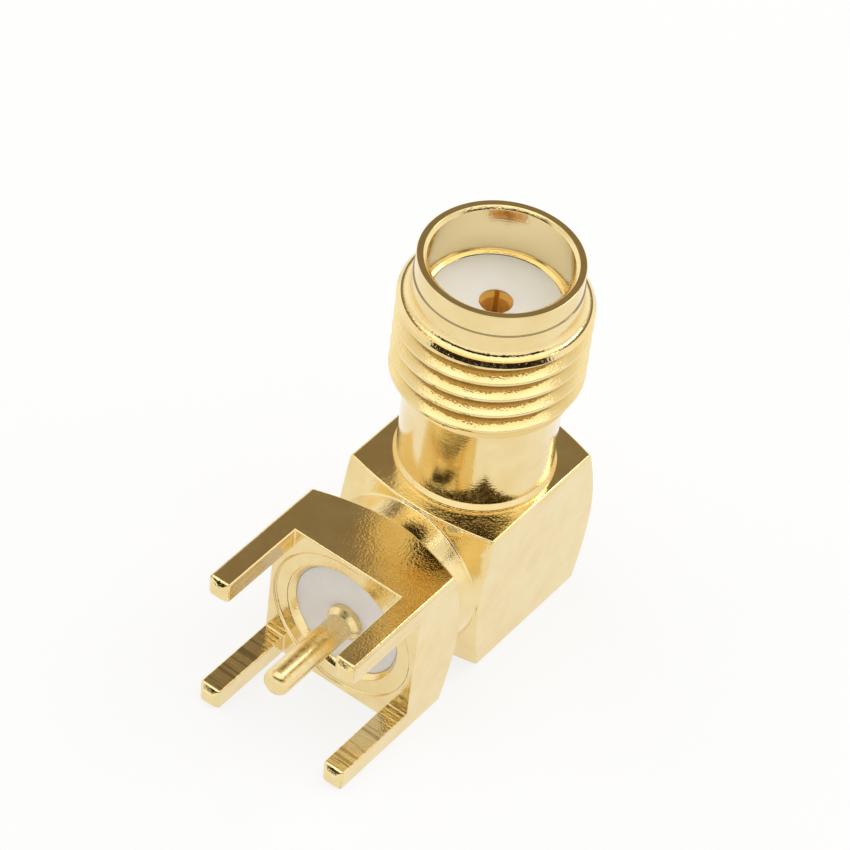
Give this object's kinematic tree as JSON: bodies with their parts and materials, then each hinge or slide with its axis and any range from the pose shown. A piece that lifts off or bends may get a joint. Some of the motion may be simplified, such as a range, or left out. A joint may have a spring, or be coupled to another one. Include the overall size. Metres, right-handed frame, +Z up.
{
  "type": "sma connector",
  "caption": "Right-angle through-hole coaxial jack: threaded barrel on a square body with a turned neck, white insulators, slotted socket contact and square solder legs.",
  "frame": {"origin": "point on the bar's underside straight below the barrel's axis", "axes": "+Z up along the barrel's axis towards its rim; the solder legs and tail pin point along -Y; the bar lies on z = 0"},
  "size_m": [0.0064, 0.0135, 0.0146],
  "materials": {
    "gold_plate": "bright gold plating over turned and milled brass",
    "white_insulator": "smooth waxy white fluoropolymer",
    "contact_gold": "gold plating, warm copper tone inside the socket"
  },
  "bodies": {
    "root": {"body": "gold_plate", "barrel": "gold_plate", "access_cap": "gold_plate", "front_insulator": "white_insulator", "rear_insulator": "white_insulator", "contact": "contact_gold", "tail_pin": "contact_gold"}
  },
  "joints": []
}
